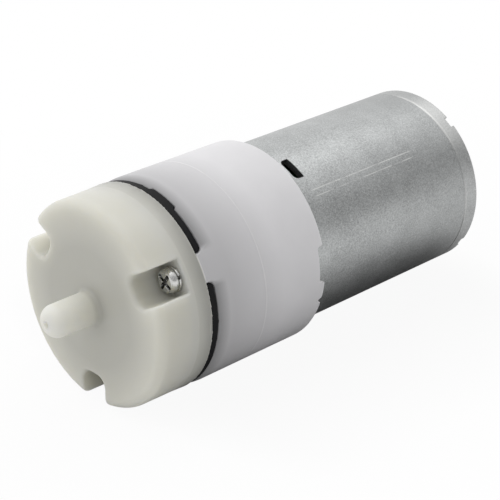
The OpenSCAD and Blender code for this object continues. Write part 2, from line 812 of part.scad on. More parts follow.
// Three split spring washers under the cover screws
module spring_washers() {
    color([0.66, 0.66, 0.64])
        on_axis()
            at_screws()
                difference() {
                    tube(lock_washer_d / 2, hole_r - screw_gap / 2, z_head, z_notch);
                    translate([0, 0, z_head + lock_washer_t / 2])
                        rotate([lock_washer_slant, 0, 0])
                            spoke(0, lock_washer_d, lock_washer_split, -lock_washer_t, lock_washer_t);
                }
}

// Two screws that hold the motor to the floor of the rear housing
module motor_screws() {
    color([0.70, 0.70, 0.68])
        on_axis()
            for (a = [0, 180])
                at(motor_screw_circle_r, a + motor_screw_turn, z_floor)
                    pan_screw(motor_screw_d, motor_screw_head_d, motor_screw_head_h, motor_screw_len);
}

// Three-armed rocker that works the cups
module rocker() {
    color([0.93, 0.93, 0.90])
        on_axis()
            on_pin()
                difference() {
                    union() {
                        bar(hub_d / 2, hub_inset, hub_inset + hub_len);
                        for (a = cup_angles) {
                            rotate([0, 0, a])
                                spoke(0, cup_circle_r, arm_w, arm_inset, arm_inset + arm_t);
                            at(cup_circle_r, a)
                                bar(arm_eye_d / 2, arm_inset, arm_inset + arm_t);
                        }
                    }
                    bar(pin_d / 2 + press_gap, hub_inset - cut, hub_inset + hub_len + cut);
                    for (a = cup_angles)
                        at(cup_circle_r, a)
                            bar(stem_d / 2 + stem_gap, arm_inset - cut, arm_inset + arm_t + cut);
                }
}

// Steel crank pin, pressed into the rocker, with a ball tip in the socket of the front housing
module crank_pin() {
    color([0.78, 0.78, 0.80])
        on_axis()
            on_pin() {
                bar(pin_d / 2, 0, pin_len);
                sphere(r = pin_d / 2);
            }
}

// Eccentric on the motor shaft, with the slanted hole that the crank pin turns in
module eccentric() {
    color([0.93, 0.93, 0.90])
        on_axis()
            difference() {
                bar(eccentric_r, z_eccentric_front, z_eccentric);
                bar(shaft_r + press_gap, z_shaft_front - press_gap, z_eccentric + cut);
                on_pin()
                    bar(pin_d / 2 + pin_gap, hub_inset, pin_len + pin_gap);
            }
}

// Drawn steel can with the front bearing boss, two vents, a rolled groove and the rear crimps
module motor_can() {
    z_band = z_rim - band_inset;
    color([0.69, 0.70, 0.70])
        on_axis() {
            difference() {
                rotate_extrude()
                    polygon(concat(
                        [[lip_r, z_boss], [boss_d / 2, z_boss], [boss_d / 2, z_seat]],
                        arc([can_r - can_corner_r, z_seat + can_corner_r], can_corner_r, -90, 0),
                        [[can_r, z_band - band_w], [can_r - band_depth, z_band - band_w / 2],
                            [can_r, z_band], [can_r, z_rim],
                            [can_in_r, z_rim], [can_in_r, z_can_in], [bearing_r, z_can_in],
                            [bearing_r, z_boss + bearing_lip_t], [lip_r, z_boss + bearing_lip_t]]));
                for (a = [0, 180])
                    rotate([0, 0, a + vent_turn])
                        can_vent();
                for (a = [0, 180])
                    at(motor_screw_circle_r, a + motor_screw_turn)
                        bar(motor_screw_d / 2 + thread_gap, z_seat - cut, z_can_in + cut);
                for (i = [0 : crimp_count - 1])
                    rotate([0, 0, crimp_turn + i * 360 / crimp_count])
                        spoke(can_in_r - cut, can_r + cut, crimp_w, z_rim - crimp_depth, z_rim + cut);
            }
            for (i = [0 : crimp_count - 1])
                rotate([0, 0, crimp_turn + i * 360 / crimp_count])
                    spoke(can_in_r - crimp_reach, can_in_r + can_wall / 2, crimp_w,
                        z_end, z_end + crimp_lip_t);
        }
}

// A vent with a straight rear edge and round front corners, cut through the can's wall
module can_vent() {
    corner_r = vent_len / 2;
    translate([can_in_r - cut, 0, z_seat + vent_inset])
        rotate([0, 90, 0])
            linear_extrude(can_wall + 2 * cut) {
                translate([-vent_len, -vent_w / 2])
                    square([vent_len - corner_r, vent_w]);
                translate([-vent_len, corner_r - vent_w / 2])
                    square([vent_len, vent_w - 2 * corner_r]);
                for (s = [-1, 1])
                    translate([-corner_r, s * (vent_w / 2 - corner_r)])
                        circle(corner_r);
            }
}

// A sintered bearing
module bearing(z0, z1) {
    color([0.70, 0.55, 0.33])
        on_axis()
            tube(bearing_r - press_gap, shaft_r + bearing_gap, z0, z1);
}

module front_bearing() { bearing(z_boss + bearing_lip_t, z_can_in); }
module rear_bearing() { bearing(z_end_in, z_rear_boss - bearing_lip_t); }

// A ferrite magnet
module magnet(a) {
    color([0.25, 0.25, 0.27])
        on_axis()
            rotate([0, 0, a])
                arc_bar(magnet_r, magnet_in_r, magnet_arc, z_magnet, z_magnet_end);
}

module magnet_1() { magnet(magnet_turn); }
module magnet_2() { magnet(magnet_turn + 180); }

// Two bent springs between the magnets, each with a leg against either magnet
module magnet_springs() {
    span = 180 - magnet_arc - 2 * magnet_spring_play;
    leg = 2 * asin(magnet_spring_t / magnet_r);
    color([0.62, 0.62, 0.64])
        on_axis()
            for (a = [0, 180])
                rotate([0, 0, a + magnet_turn + 90])
                    difference() {
                        arc_bar(magnet_r, magnet_r - magnet_spring_leg, span, z_magnet, z_magnet_end);
                        arc_bar(magnet_r - magnet_spring_t, cut, span - leg,
                            z_magnet - cut, z_magnet_end + cut);
                    }
}

// Motor shaft
module motor_shaft() {
    color([0.78, 0.78, 0.80])
        on_axis()
            bar(shaft_r, z_shaft_front, z_rear_boss + shaft_tail);
}

// Section of the armature: hub, three arms and three shoes
module armature_section(shrink) {
    circle(core_hub_d / 2 - shrink);
    for (a = thirds)
        rotate(a) {
            translate([0, shrink - core_arm_w / 2])
                square([core_r - pole_t / 2, core_arm_w - 2 * shrink]);
            intersection() {
                difference() {
                    circle(core_r - shrink);
                    circle(shoe_in_r + shrink);
                }
                polygon(concat([[0, 0]], arc([0, 0], 2 * core_r, -pole_arc / 2, pole_arc / 2)));
            }
        }
}

// Laminated armature core
module armature_core() {
    color([0.45, 0.46, 0.48])
        on_axis()
            difference() {
                translate([0, 0, z_core])
                    linear_extrude(z_core_end - z_core)
                        armature_section(0);
                bar(shaft_r + press_gap, z_core - cut, z_core_end + cut);
            }
}

// End insulator of the armature with a spacer tube
module insulator(z0, tube_z0, tube_z1) {
    color([0.20, 0.45, 0.30])
        on_axis()
            difference() {
                union() {
                    translate([0, 0, z0])
                        linear_extrude(insulator_t)
                            armature_section(press_gap);
                    bar(shaft_r + spacer_wall, tube_z0, tube_z1);
                }
                bar(shaft_r + press_gap, tube_z0 - cut, tube_z1 + cut);
            }
}

module front_insulator() { insulator(z_core - insulator_t, z_front_washer + thrust_washer_t, z_core); }
module rear_insulator() { insulator(z_core_end, z_core_end, z_spacer); }

// One winding around an armature arm
module winding(a) {
    z_mid = (z_core + z_core_end) / 2;
    inner_h = z_core_end - z_core + 2 * (insulator_t + press_gap);
    inner_w = core_arm_w + 2 * press_gap;
    start_r = core_hub_d / 2 + 2 * press_gap;
    color([0.74, 0.40, 0.20])
        on_axis()
            rotate([0, 0, a])
                translate([start_r, 0, z_mid])
                    rotate([0, 90, 0])
                        linear_extrude(coil_end_r - start_r)
                            difference() {
                                round_rect(inner_h + 2 * coil_rise, inner_w + 2 * coil_t, coil_t);
                                square([inner_h, inner_w], center = true);
                            }
}

module winding_1() { winding(thirds[0]); }
module winding_2() { winding(thirds[1]); }
module winding_3() { winding(thirds[2]); }

// Insulating sleeve of the commutator
module commutator_sleeve() {
    color([0.35, 0.18, 0.12])
        on_axis()
            tube(sleeve_r, shaft_r + press_gap, z_spacer, z_rear_washer - end_play);
}

// Three copper segments on the sleeve
module commutator_segments() {
    arc_each = 120 - 2 * asin(segment_gap / commutator_d);
    color([0.80, 0.48, 0.25])
        on_axis()
            for (a = thirds)
                rotate([0, 0, a + 180])
                    arc_bar(commutator_r, sleeve_r + press_gap, arc_each,
                        z_segment, z_segment + segment_len);
}

// Thrust washers at both ends of the rotor
module thrust_washers() {
    color([0.85, 0.83, 0.75])
        on_axis()
            for (z = [z_front_washer, z_rear_washer - end_play])
                tube(thrust_washer_d / 2, shaft_r + press_gap, z, z + thrust_washer_t);
}

// Plastic brush holder with an insulating collar around each terminal
module brush_holder() {
    color([0.90, 0.90, 0.86])
        on_axis()
            difference() {
                union() {
                    bar(can_in_r - end_fit, z_holder, z_end_in);
                    for (a = [0, 180])
                        rotate([0, 0, a + magnet_turn])
                            terminal_block(terminal_collar - press_gap, z_holder, z_end + terminal_collar);
                }
                bar(boss_d / 2, z_holder - cut, z_end_in + cut);
                for (a = [0, 180])
                    rotate([0, 0, a + magnet_turn])
                        terminal_block(press_gap, z_holder - cut, z_end + cut);
            }
}

// The room of a terminal blade, grown by a margin
module terminal_block(grow, z0, z1) {
    spoke(terminal_circle_r - terminal_t / 2 - grow, terminal_circle_r + terminal_t / 2 + grow,
        terminal_w + 2 * grow, z0, z1);
}

// Steel end plate with the rear bearing boss
module end_plate() {
    color([0.66, 0.67, 0.67])
        on_axis()
            difference() {
                union() {
                    bar(can_in_r - end_fit, z_end_in, z_end);
                    bar(boss_d / 2, z_end_in, z_rear_boss);
                }
                bar(bearing_r, z_end_in - cut, z_rear_boss - bearing_lip_t);
                bar(lip_r, z_end_in - cut, z_rear_boss + cut);
                for (a = [0, 180])
                    rotate([0, 0, a + magnet_turn])
                        terminal_block(terminal_collar, z_end_in - cut, z_end + cut);
            }
}

// A carbon brush with a hollow face that fits the commutator
module brush(a) {
    color([0.20, 0.20, 0.21])
        on_axis()
            rotate([0, 0, a])
                difference() {
                    spoke(0, leaf_r, brush_w, z_brush, z_brush + brush_h);
                    bar(commutator_r + brush_gap, z_brush - cut, z_brush + brush_h + cut);
                    spoke(-housing_r, 0, 2 * housing_r, z_brush - cut, z_brush + brush_h + cut);
                }
}

module brush_1() { brush(magnet_turn); }
module brush_2() { brush(magnet_turn + 180); }

// A leaf spring that presses a brush, with its foot on the brush holder
module brush_spring(a) {
    color([0.78, 0.62, 0.35])
        on_axis()
            rotate([0, 0, a]) {
                spoke(leaf_r, leaf_r + leaf_t, brush_w, z_brush, z_holder);
                spoke(leaf_r, terminal_circle_r + terminal_t / 2, brush_w, z_holder - leaf_t, z_holder);
            }
}

module brush_spring_1() { brush_spring(magnet_turn); }
module brush_spring_2() { brush_spring(magnet_turn + 180); }

// A terminal blade with an eye for a wire
module terminal(a) {
    z_blade = z_rim + terminal_len;
    color([0.80, 0.80, 0.78])
        on_axis()
            rotate([0, 0, a])
                difference() {
                    terminal_block(0, z_holder, z_blade);
                    translate([terminal_circle_r, 0, z_blade - terminal_w / 2])
                        rotate([0, 90, 0])
                            cylinder(d = terminal_eye_d, h = 2 * terminal_t, center = true);
                }
}

module terminal_1() { terminal(magnet_turn); }
module terminal_2() { terminal(magnet_turn + 180); }

head_cap();
valve_plate();
diaphragm();
outlet_valve();
inlet_valve_1();
inlet_valve_2();
inlet_valve_3();
front_housing();
rear_housing();
cover_screws();
spring_washers();
rocker();
crank_pin();
eccentric();
motor_screws();
motor_can();
front_bearing();
rear_bearing();
magnet_1();
magnet_2();
magnet_springs();
motor_shaft();
armature_core();
front_insulator();
rear_insulator();
winding_1();
winding_2();
winding_3();
commutator_sleeve();
commutator_segments();
thrust_washers();
brush_holder();
end_plate();
brush_1();
brush_2();
brush_spring_1();
brush_spring_2();
terminal_1();
terminal_2();
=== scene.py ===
"""Looks of the mini air pump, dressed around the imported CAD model.

Lengths in the fields and the paints are millimetres in the pump's axial frame: x is up, y points
to the side of the near cover screw, z runs along the axis to the motor's rear, and angles turn
from x towards y, in degrees.
"""
import json
import math

import bmesh
import bpy
import numpy as np
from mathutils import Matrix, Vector


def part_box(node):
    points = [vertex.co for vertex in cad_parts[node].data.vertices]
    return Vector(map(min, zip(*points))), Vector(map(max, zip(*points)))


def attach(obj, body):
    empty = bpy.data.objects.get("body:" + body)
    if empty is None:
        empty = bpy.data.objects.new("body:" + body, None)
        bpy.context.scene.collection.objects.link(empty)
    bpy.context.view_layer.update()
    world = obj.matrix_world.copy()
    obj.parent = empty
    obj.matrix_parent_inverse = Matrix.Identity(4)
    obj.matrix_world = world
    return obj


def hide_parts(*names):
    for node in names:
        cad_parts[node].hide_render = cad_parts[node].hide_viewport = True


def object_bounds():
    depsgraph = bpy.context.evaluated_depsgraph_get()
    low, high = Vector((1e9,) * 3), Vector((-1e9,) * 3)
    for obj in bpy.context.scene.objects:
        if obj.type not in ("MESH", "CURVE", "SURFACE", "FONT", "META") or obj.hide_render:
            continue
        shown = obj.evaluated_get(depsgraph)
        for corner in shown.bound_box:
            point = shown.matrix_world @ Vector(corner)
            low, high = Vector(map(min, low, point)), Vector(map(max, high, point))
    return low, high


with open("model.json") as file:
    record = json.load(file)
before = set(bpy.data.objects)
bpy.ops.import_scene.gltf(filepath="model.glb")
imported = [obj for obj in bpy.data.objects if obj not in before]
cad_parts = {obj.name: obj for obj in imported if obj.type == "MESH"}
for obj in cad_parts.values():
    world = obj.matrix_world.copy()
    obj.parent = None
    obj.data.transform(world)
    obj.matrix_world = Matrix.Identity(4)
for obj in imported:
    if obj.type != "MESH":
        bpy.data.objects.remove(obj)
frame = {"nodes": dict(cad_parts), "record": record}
CAD_LOW, CAD_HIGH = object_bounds()
MM = 0.001


def span(node):
    """Where a CAD node starts and ends along the axis, and its radius, in millimetres."""
    low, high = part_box(node)
    return low.x / MM, high.x / MM, high.z / MM


# Sizes that the frame gives
Z_TIP, Z_PLATE, CAP_R = span("head_cap")
_, _, PLATE_R = span("valve_plate")
_, _, DIAPHRAGM_R = span("diaphragm")
Z_FLANGE, Z_JOINT, HOUSING_R = span("front_housing")
_, Z_RIM, CAN_R = span("motor_can")
Z_HEAD, Z_SCREW_TIP, _ = span("cover_screws")
Z_WASHER, Z_NOTCH, _ = span("spring_washers")

# Head cap
NOZZLE_LEN = 6.6
Z_CAP = Z_TIP + NOZZLE_LEN
CAP_EDGE_R = 1.2
CAP_DRAFT = 0.06
NOZZLE_R = 2.075
NOZZLE_TIP_R = 1.6
NOZZLE_ROOT_R = 0.6
BORE_R = 0.3
BORE_EDGE_R = 0.3
SCREW_CIRCLE_R = HOUSING_R - 2.45
SCREW_TURNS = (60, 180, 300)
NOTCH_W = 4.2
NOTCH_END = 1.68
NOTCH_END_R = 1.5
NOTCH_EDGE_R = 0.3
NOTCH_FLOOR_R = 0.25
HOLE_R = 0.95
HOLE_EDGE_R = 0.05
CHAMBER_R = 5.2
CHAMBER_DEPTH = 3.4
CHANNEL_IN_R = 6.1
CHANNEL_R = 7.9
CHANNEL_DEPTH = 2.4
CUP_TURNS = (0, 120, 240)
POCKET_CIRCLE_R = 7.5
POCKET_R = 1.65

# Plate and rubber
FLANGE_T = 1.1
Z_DECK = Z_FLANGE + FLANGE_T
BOSS_W = 3.6
BOSS_GAP = 0.1
TAB_W = BOSS_W - 0.4
ARC_END_R = 0.85
RUBBER_EDGE_R = 0.12
RUBBER_FRONT_R = 0.08
KEY_W = 4.2
KEY_RISE = 0.3
KEY_TURN = 15.4
KEY_IN_R = 11.9
KEY_CORNER_R = 0.2
KEY_ROOT_R = 0.05

# Housings
BOSS_DROP = HOUSING_R - PLATE_R
EASE_LEN = 1.6
EASE_DEPTH = 0.25
DECK_EDGE_R = 0.12
KEY_POCKET_EDGE_R = 0.08
SKIRT_R = CAN_R + 0.05
SKIRT_LEN = 1.0
SKIRT_EDGE_R = 0.12
RIM_EDGE_R = 0.35
RIM_CUT_IN_R = 11
RIM_CUT_EDGE_R = 0.1
RIM_NOTCH_W = 4.4
RIM_NOTCH_TURN = 84
RIM_NOTCH_SLANT = 0.35
RIM_NOTCH_CORNER_R = 0.15
RIM_VEE_W = 1.3
RIM_VEE_DEPTH = 0.8
RIM_VEE_TURN = 106.4

# How far a piece laps into its neighbour, and how far it stands back there
LAP = 0.3
LAP_STEP = 0.01

# Further off than any surface
FAR = 1000.0

# Cover screws and spring washers
HEAD_R = 1.575
HEAD_H = 1.05
HEAD_DOME = 0.12
HEAD_TOP_R = 0.5
HEAD_UNDER_R = 0.22
CROSS_LEN = 2.33
CROSS_W = 0.5
CROSS_DEPTH = 0.63
CROSS_TAPER = 0.45
CROSS_TURN = -28
CROSS_CORNER_R = 0.1
CROSS_EDGE_R = 0.06
SHANK_R = 0.85
SHANK_TAPER = 0.6
SHANK_TIP_R = 0.1
SHANK_ROOT_R = 0.05
Z_SHANK = Z_HEAD + CROSS_DEPTH + 0.2
WASHER_R = 1.65
WASHER_IN_R = 0.9
WASHER_SIDE_R = 0.06
WASHER_FACE_R = 0.14
WASHER_GAP = 0.4
WASHER_GAP_EDGE_R = 0.05
WASHER_SLANT = 0.45

# Motor can: its rear rim starts at a band, and each scratch has a turn, a start and an end
Z_BAND = Z_RIM - 2.2
SCRATCHES = ((42.9, 2.3, 21.0), (47.1, 2.4, 20.7))
SCRATCH_HALF_W = 0.3

# Where the paints change: along the axis, out from it, or about it in degrees
NOZZLE_LIT_LEN = 4
FACE_SHADE_FULL_R, FACE_SHADE_END_R = 7.5, 12
SEAM_REACH = 0.5
FRONT_SHADE_BEFORE, FRONT_SHADE_PAST = 5, 3
SHADE_NEAR, SHADE_FAR = 0.3, 1.8
BOSS_CLEAR, BOSS_PAST = 8, 11
JOINT_HIGHLIGHT_HALF_W = 0.08
CAN_SHADE_START, CAN_SHADE_END = 4, 28
TOP_SHADE_START = 16
TOP_SHADE_TURNS = (-60, 8)
RIM_SHEEN_TURNS = (10, 50)
BAND_SHEEN_TURNS = (-4, 50)
BAND_LOW_SHEEN_TURNS = (72, 86)
BAND_HALF_W = 0.12

# Meshes
CAP_VOXEL = 0.16
VOXEL = 0.2
SMALL_VOXEL = 0.07
REACH = 0.45
SMALL_REACH = 0.2
SLOPE_STEP = 0.004
LEAST_SLOPE = 0.05
SETTLE_STEPS = 6
LEAST_AGREEMENT = 0.5


# Solids as signed distances. Sharp edges get a radius where two of them meet.

def meet(a, b, radius=0.0):
    """What lies inside both, with its edge rounded."""
    if np.all(radius == 0):
        return np.maximum(a, b)
    outside = np.hypot(np.maximum(a + radius, 0), np.maximum(b + radius, 0))
    return np.minimum(np.maximum(a, b), -radius) + outside


def join(a, b, radius=0.0):
    """What lies inside either, with its corner filled."""
    return -meet(-a, -b, radius)


def carve(a, b, radius=0.0):
    """What lies inside a but not b."""
    return meet(a, -b, radius)


def turned(x, y, turn):
    """Distance outwards along a direction, and sideways from it."""
    c, s = math.cos(math.radians(turn)), math.sin(math.radians(turn))
    return c * x + s * y, c * y - s * x


def round_u(x, y, turn, width):
    """A U that is open to the outside, with its round end on the screw circle."""
    out, side = turned(x, y, turn)
    return np.hypot(np.minimum(out - SCREW_CIRCLE_R, 0), side) - width / 2


def pin(x, y, turn, circle_r, radius):
    """A round bar along the axis, on a circle about it."""
    out, side = turned(x, y, turn)
    return np.hypot(out - circle_r, side) - radius


def stood_back(along):
    """How far a piece stands back where it laps into its neighbour, past their joint."""
    return LAP_STEP * np.clip(along / (LAP / 2), 0, 1)


def cap_field(x, y, z):
    """Head cap: round front edge, domed nozzle, screw notches and the chambers inside."""
    r = np.hypot(x, y)
    draft = CAP_DRAFT * (Z_PLATE - z) / (Z_PLATE - Z_CAP)
    body = meet(r - CAP_R + draft + stood_back(z - Z_PLATE), Z_CAP - z, CAP_EDGE_R)
    nozzle = meet(r - NOZZLE_R, Z_TIP - z, NOZZLE_TIP_R)
    f = join(body, nozzle, NOZZLE_ROOT_R)
    for turn in SCREW_TURNS:
        out, side = turned(x, y, turn)
        inwards = SCREW_CIRCLE_R - out
        notch = meet(np.abs(side) - NOTCH_W / 2, inwards - NOTCH_END, NOTCH_END_R)
        edge_r = NOTCH_EDGE_R * (1 + np.clip(inwards / NOTCH_END, 0, 1))
        f = carve(f, meet(notch, z - Z_NOTCH, NOTCH_FLOOR_R), edge_r)
        f = carve(f, pin(x, y, turn, SCREW_CIRCLE_R, HOLE_R), HOLE_EDGE_R)
    f = meet(f, z - Z_PLATE - LAP)
    f = carve(f, r - BORE_R, BORE_EDGE_R)
    f = carve(f, meet(r - CHAMBER_R, Z_PLATE - CHAMBER_DEPTH - z))
    above_channel = Z_PLATE - CHANNEL_DEPTH - z
    channel = meet(meet(r - CHANNEL_R, CHANNEL_IN_R - r), above_channel)
    for turn in CUP_TURNS:
        channel = join(channel, meet(pin(x, y, turn, POCKET_CIRCLE_R, POCKET_R), above_channel))
    return carve(f, channel)


def plate_field(x, y, z):
    """Rim of the valve plate, which starts flush with the cap and widens to the rear."""
    r = np.hypot(x, y)
    draft = (PLATE_R - CAP_R) * np.clip((Z_FLANGE - z) / (Z_FLANGE - Z_PLATE), 0, 1)
    side = r - PLATE_R + draft + stood_back(Z_PLATE - z) + stood_back(z - Z_FLANGE)
    rear = z - Z_FLANGE
    for turn in SCREW_TURNS:
        rear = join(rear, meet(round_u(x, y, turn, TAB_W), z - Z_FLANGE - LAP))
    return meet(meet(side, Z_PLATE - LAP - z), rear)


def key_field(x, y, z, width):
    """The key on the edge of the diaphragm, or its pocket."""
    out, side = turned(x, y, KEY_TURN)
    block = meet(np.abs(side) - width / 2, z - Z_DECK - KEY_RISE, KEY_CORNER_R)
    return meet(block, KEY_IN_R - out)


def diaphragm_field(x, y, z):
    """Edge of the rubber flange, with its key and the gaps for the screw bosses."""
    r = np.hypot(x, y)
    f = join(z - Z_DECK, key_field(x, y, z, KEY_W), KEY_ROOT_R)
    for turn in SCREW_TURNS:
        f = carve(f, round_u(x, y, turn, BOSS_W + 2 * BOSS_GAP), ARC_END_R)
    return meet(meet(r - DIAPHRAGM_R, f, RUBBER_EDGE_R), Z_FLANGE - z, RUBBER_FRONT_R)


def front_housing_field(x, y, z):
    """Outside of the front housing, eased towards the rubber, with the screw bosses."""
    r = np.hypot(x, y)
    eased = np.clip((Z_DECK + EASE_LEN - z) / EASE_LEN, 0, 1) ** 2 * EASE_DEPTH
    side = r - HOUSING_R + stood_back(z - Z_JOINT)
    f = meet(side + eased, Z_DECK - z, DECK_EDGE_R)
    f = carve(f, key_field(x, y, z, KEY_W + 2 * BOSS_GAP), KEY_POCKET_EDGE_R)
    for turn in SCREW_TURNS:
        boss = meet(round_u(x, y, turn, BOSS_W), Z_FLANGE - LAP - z)
        boss = meet(boss, side + BOSS_DROP + stood_back(Z_FLANGE - z))
        f = meet(join(f, boss, ARC_END_R), side)
    return meet(f, z - Z_JOINT - LAP)


def rear_housing_field(x, y, z):
    """Outside of the rear housing, with the round edge, notch and vee of its rear rim."""
    r = np.hypot(x, y)
    f = meet(meet(r - HOUSING_R + stood_back(Z_JOINT - z), z, RIM_EDGE_R), Z_JOINT - LAP - z)
    f = carve(f, meet(r - SKIRT_R, -SKIRT_LEN - z), SKIRT_EDGE_R)
    out, side = turned(x, y, RIM_NOTCH_TURN)
    half = RIM_NOTCH_W / 2 + RIM_NOTCH_SLANT * (z + SKIRT_LEN)
    notch = meet(np.abs(side) - half, -SKIRT_LEN - z, RIM_NOTCH_CORNER_R)
    f = carve(f, meet(notch, RIM_CUT_IN_R - out), RIM_CUT_EDGE_R)
    out, side = turned(x, y, RIM_VEE_TURN)
    flank = np.abs(side) * RIM_VEE_DEPTH - (z + RIM_VEE_DEPTH) * RIM_VEE_W / 2
    vee = flank / math.hypot(RIM_VEE_DEPTH, RIM_VEE_W / 2)
    return carve(f, meet(vee, RIM_CUT_IN_R - out), RIM_CUT_EDGE_R)


def screw_field(turn):
    """A pan head screw with a tapered cross recess."""
    def field(x, y, z):
        out, side = turned(x, y, turn)
        out = out - SCREW_CIRCLE_R
        r = np.hypot(out, side)
        top = Z_HEAD + HEAD_DOME * (r / HEAD_R) ** 2
        head = meet(meet(r - HEAD_R, top - z, HEAD_TOP_R), z - Z_HEAD - HEAD_H, HEAD_UNDER_R)
        a, b = turned(out, side, CROSS_TURN)
        deep = np.clip((z - Z_HEAD) / CROSS_DEPTH, 0, 1)
        reach = CROSS_LEN / 2 * (1 - CROSS_TAPER * deep)
        arms = FAR
        for u, v in ((a, b), (b, a)):
            arms = np.minimum(arms, meet(np.abs(u) - reach, np.abs(v) - CROSS_W / 2, CROSS_CORNER_R))
        cross = meet(arms, z - Z_HEAD - CROSS_DEPTH, CROSS_CORNER_R)
        head = carve(head, cross, CROSS_EDGE_R)
        pointed = np.maximum(z - Z_SCREW_TIP + SHANK_R, 0) * SHANK_TAPER
        shank = meet(r - SHANK_R + pointed, z - Z_SCREW_TIP, SHANK_TIP_R)
        return join(head, meet(shank, Z_SHANK - z), SHANK_ROOT_R)
    return field


def washer_field(turn):
    """A spring washer with its slanted gap."""
    def field(x, y, z):
        out, side = turned(x, y, turn)
        out = out - SCREW_CIRCLE_R
        r = np.hypot(out, side)
        ring = meet(r - WASHER_R, WASHER_IN_R - r, WASHER_SIDE_R)
        ring = meet(ring, meet(Z_WASHER - z, z - Z_NOTCH), WASHER_FACE_R)
        slant = WASHER_SLANT * (z - (Z_WASHER + Z_NOTCH) / 2)
        return carve(ring, meet(np.abs(side + slant) - WASHER_GAP / 2, -out), WASHER_GAP_EDGE_R)
    return field


# Meshes

def axial(points):
    """Points of the frame in metres, as axial coordinates in millimetres."""
    return points[:, 2] / MM, -points[:, 1] / MM, points[:, 0] / MM


def from_axial(x, y, z):
    """Axial coordinates in millimetres, as points of the frame in metres."""
    return np.column_stack((z, -y, x)) * MM


def slope(field, x, y, z):
    """Direction in which a field grows fastest, and its length."""
    s = SLOPE_STEP
    g = np.column_stack((
        field(x + s, y, z) - field(x - s, y, z),
        field(x, y + s, z) - field(x, y - s, z),
        field(x, y, z + s) - field(x, y, z - s))) / (2 * s)
    return g, np.maximum(np.linalg.norm(g, axis=1), LEAST_SLOPE)


def settle(points, field, reach, inside_r):
    """Moves points that lie near a field's surface onto it, and gives that surface's normals."""
    x, y, z = axial(points)
    near = (np.abs(field(x, y, z)) < reach) & (np.hypot(x, y) > inside_r)
    px, py, pz = x[near], y[near], z[near]
    for _ in range(SETTLE_STEPS):
        g, size = slope(field, px, py, pz)
        move = np.clip(field(px, py, pz) / size, -reach, reach)[:, None] * g / size[:, None]
        px, py, pz = px - move[:, 0], py - move[:, 1], pz - move[:, 2]
    g, size = slope(field, px, py, pz)
    x[near], y[near], z[near] = px, py, pz
    normals = np.zeros((len(x), 3))
    normals[near] = from_axial(*(g / size[:, None]).T) / MM
    return from_axial(x, y, z), normals


def soft_copy(name, source, voxel, field, reach=REACH, inside_r=0.0):
    """A fine mesh of a CAD node, drawn onto the rounded surface of its field."""
    obj = bpy.data.objects.new(name, source)
    bpy.context.scene.collection.objects.link(obj)
    remesh = obj.modifiers.new("fine", "REMESH")
    remesh.mode = "VOXEL"
    remesh.voxel_size = voxel * MM
    remesh.use_smooth_shade = True
    graph = bpy.context.evaluated_depsgraph_get()
    mesh = bpy.data.meshes.new_from_object(obj.evaluated_get(graph))
    mesh.name = name
    obj.modifiers.clear()
    obj.data = mesh
    points = np.zeros(len(mesh.vertices) * 3)
    mesh.vertices.foreach_get("co", points)
    points, normals = settle(points.reshape(-1, 3), field, reach, inside_r)
    mesh.vertices.foreach_set("co", points.ravel())
    mesh.update()
    own = np.zeros(len(mesh.vertices) * 3)
    mesh.vertices.foreach_get("normal", own)
    own = own.reshape(-1, 3)
    agree = (own * normals).sum(1) > LEAST_AGREEMENT
    own[agree] = normals[agree]
    mesh.normals_split_custom_set_from_vertices(own)
    return obj


def one_solid(node, turn):
    """The part of a CAD node's mesh that stands at one cover screw."""
    mesh = frame["nodes"][node].data.copy()
    bm = bmesh.new()
    bm.from_mesh(mesh)
    a = math.radians(turn)
    way = Vector((0, -math.sin(a), math.cos(a)))
    strays = [v for v in bm.verts if v.co.dot(way) < SCREW_CIRCLE_R * MM / 2]
    bmesh.ops.delete(bm, geom=strays, context="VERTS")
    bm.to_mesh(mesh)
    bm.free()
    return mesh


def dress(obj, material):
    """Gives an object one material."""
    obj.data.materials.clear()
    obj.data.materials.append(material)


def stand_in(obj, node):
    """Puts a new piece in the place of a CAD node that doesn't move."""
    dress(obj, MATERIALS[SLOTS[node]])
    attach(obj, "pump_body")
    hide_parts(node)


# Materials

# Radians that a wave texture of scale one turns in one unit of length
WAVE_RADIANS = 20


class Nodes:
    """A tree of shader nodes, built node by node."""

    def __init__(self, tree):
        self.tree = tree

    def node(self, kind, inputs=None, **settings):
        """Adds a node. An input is a value, or another node's output."""
        n = self.tree.nodes.new(kind)
        for key, value in settings.items():
            setattr(n, key, value)
        for key, value in (inputs or {}).items():
            if isinstance(value, bpy.types.NodeSocket):
                self.tree.links.new(value, n.inputs[key])
            else:
                n.inputs[key].default_value = value
        return n

    def calc(self, operation, a, b=0.0, c=0.0):
        """Does one sum with numbers or other nodes' outputs."""
        return self.node("ShaderNodeMath", {0: a, 1: b, 2: c}, operation=operation).outputs[0]

    def times(self, a, b):
        return self.calc("MULTIPLY", a, b)

    def hypot(self, a, b):
        """The long side of a right triangle, from the other two."""
        return self.calc("SQRT", self.calc("ADD", self.calc("POWER", a, 2.0), self.calc("POWER", b, 2.0)))

    def parts(self, vector):
        """The three coordinates of a vector."""
        return self.node("ShaderNodeSeparateXYZ", {0: vector}).outputs

    def fit(self, value, low, high, to_low, to_high, way="LINEAR"):
        """Maps a value from one range to another, and stops at its ends."""
        ends = {"Value": value, "From Min": low, "From Max": high, "To Min": to_low, "To Max": to_high}
        return self.node("ShaderNodeMapRange", ends, interpolation_type=way).outputs[0]

    def between(self, value, low, high, soft):
        """One from low to high, and nothing outside, with soft ends."""
        up = self.fit(value, low - soft, low + soft, 0, 1)
        down = self.fit(value, high - soft, high + soft, 1, 0)
        return self.times(up, down)

    def rays(self):
        """Whether a ray was sent by the camera, and whether by a mirror or through glass."""
        path = self.node("ShaderNodeLightPath").outputs
        bounced = self.calc("MAXIMUM", path["Is Glossy Ray"], path["Is Transmission Ray"])
        return path["Is Camera Ray"], bounced


